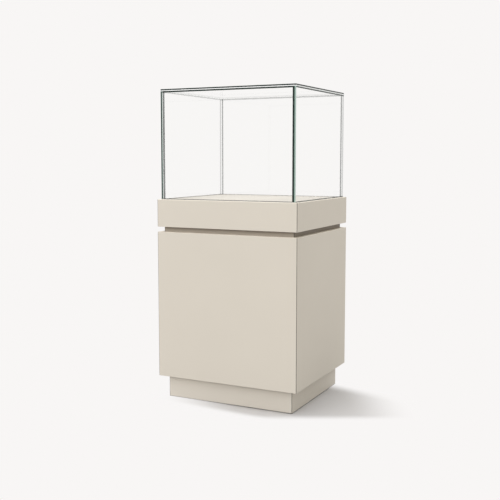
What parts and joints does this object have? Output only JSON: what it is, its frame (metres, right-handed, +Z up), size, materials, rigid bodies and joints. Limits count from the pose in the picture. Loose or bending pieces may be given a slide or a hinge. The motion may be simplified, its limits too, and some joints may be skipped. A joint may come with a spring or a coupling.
{
  "type": "display counter",
  "caption": "Pedestal display counter: a lift-off clear glass hood over a lacquered deck, on a shadow-gap cabinet with a locking rear door, a shelf and a recessed plinth on levelling feet.",
  "frame": {"origin": "on the floor under the middle of the counter", "axes": "+Z up, the front panel faces -Y, the rear door faces +Y, +X is to the right seen from the front"},
  "size_m": [0.6, 0.525, 1.23],
  "materials": {
    "lacquer": "satin warm greige lacquer on board",
    "display_lacquer": "matt pale lacquer on board",
    "raw_wood": "bare planed softwood and plywood",
    "glass": "clear float glass with polished edges",
    "gasket": "soft matt grey strip",
    "zinc_steel": "bright zinc plate",
    "nylon": "moulded black nylon",
    "lock_chrome": "bright plate",
    "knob_steel": "fine brushed"
  },
  "bodies": {
    "cabinet": {"plinth_front": "lacquer", "gap_front": "lacquer", "deck_apron_front": "lacquer", "deck_ledger_front": "raw_wood", "plinth_back": "lacquer", "gap_back": "lacquer", "deck_apron_back": "lacquer", "deck_ledger_back": "raw_wood", "plinth_left": "lacquer", "gap_left": "lacquer", "deck_apron_left": "lacquer", "deck_ledger_left": "raw_wood", "plinth_right": "lacquer", "gap_right": "lacquer", "deck_apron_right": "lacquer", "deck_ledger_right": "raw_wood", "front_panel": "lacquer", "left_side": "lacquer", "right_side": "lacquer", "bottom_panel": "lacquer", "top_panel": "lacquer", "shelf": "lacquer", "door_stop": "lacquer", "display_board": "display_lacquer", "deck_base": "raw_wood", "carcass_dowels": "raw_wood", "plinth_block_front_left": "raw_wood", "plinth_block_front_right": "raw_wood", "plinth_block_back_left": "raw_wood", "plinth_block_back_right": "raw_wood", "leveller_inserts": "zinc_steel", "plinth_screws": "zinc_steel", "deck_screws": "zinc_steel", "shelf_pins": "zinc_steel", "pivot_bush_lower": "nylon", "pivot_bush_upper": "nylon", "hood_gasket": "gasket"},
    "hood": {"glass_front": "glass", "glass_back": "glass", "glass_left": "glass", "glass_right": "glass", "glass_top": "glass"},
    "door": {"door_panel": "lacquer", "door_knob": "knob_steel", "pivot_pin_lower": "zinc_steel", "pivot_pin_upper": "zinc_steel", "lock_housing": "lock_chrome", "lock_nut": "zinc_steel"},
    "lock": {"lock_plug": "lock_chrome", "lock_cam": "zinc_steel", "lock_cam_screw": "zinc_steel"},
    "foot_front_left": {"leveller_pad_front_left": "nylon"},
    "stem_front_left": {"leveller_stem_front_left": "zinc_steel"},
    "foot_front_right": {"leveller_pad_front_right": "nylon"},
    "stem_front_right": {"leveller_stem_front_right": "zinc_steel"},
    "foot_back_left": {"leveller_pad_back_left": "nylon"},
    "stem_back_left": {"leveller_stem_back_left": "zinc_steel"},
    "foot_back_right": {"leveller_pad_back_right": "nylon"},
    "stem_back_right": {"leveller_stem_back_right": "zinc_steel"}
  },
  "joints": [
    {"name": "hood_lift", "type": "slide", "parent": "cabinet", "child": "hood", "axis": [0, 0, 1], "range_m": [0, 0.5]},
    {"name": "door_swing", "type": "hinge", "parent": "cabinet", "child": "door", "pos_m": [0.268, 0.2365, 0.381], "axis": [0, 0, -1], "range_deg": [0, 100]},
    {"name": "lock_turn", "type": "hinge", "parent": "door", "child": "lock", "pos_m": [-0.24814, 0.23, 0.522], "axis": [0, 1, 0], "range_deg": [0, 90]},
    {"name": "leveller_front_left", "type": "slide", "parent": "cabinet", "child": "foot_front_left", "axis": [0, 0, -1], "range_m": [-0.002, 0.015]},
    {"name": "stem_turn_front_left", "type": "hinge", "parent": "foot_front_left", "child": "stem_front_left", "pos_m": [-0.227, -0.1895, 0.04], "axis": [0, 0, -1], "range_deg": [-580, 4325]},
    {"name": "leveller_front_right", "type": "slide", "parent": "cabinet", "child": "foot_front_right", "axis": [0, 0, -1], "range_m": [-0.002, 0.015]},
    {"name": "stem_turn_front_right", "type": "hinge", "parent": "foot_front_right", "child": "stem_front_right", "pos_m": [0.227, -0.1895, 0.04], "axis": [0, 0, -1], "range_deg": [-580, 4325]},
    {"name": "leveller_back_left", "type": "slide", "parent": "cabinet", "child": "foot_back_left", "axis": [0, 0, -1], "range_m": [-0.002, 0.015]},
    {"name": "stem_turn_back_left", "type": "hinge", "parent": "foot_back_left", "child": "stem_back_left", "pos_m": [-0.227, 0.1895, 0.04], "axis": [0, 0, -1], "range_deg": [-580, 4325]},
    {"name": "leveller_back_right", "type": "slide", "parent": "cabinet", "child": "foot_back_right", "axis": [0, 0, -1], "range_m": [-0.002, 0.015]},
    {"name": "stem_turn_back_right", "type": "hinge", "parent": "foot_back_right", "child": "stem_back_right", "pos_m": [0.227, 0.1895, 0.04], "axis": [0, 0, -1], "range_deg": [-580, 4325]}
  ],
  "couplings": [
    {"joint": "stem_turn_front_left", "follows": "leveller_front_left", "rad_per_m": 5026.5},
    {"joint": "stem_turn_front_right", "follows": "leveller_front_right", "rad_per_m": 5026.5},
    {"joint": "stem_turn_back_left", "follows": "leveller_back_left", "rad_per_m": 5026.5},
    {"joint": "stem_turn_back_right", "follows": "leveller_back_right", "rad_per_m": 5026.5}
  ]
}
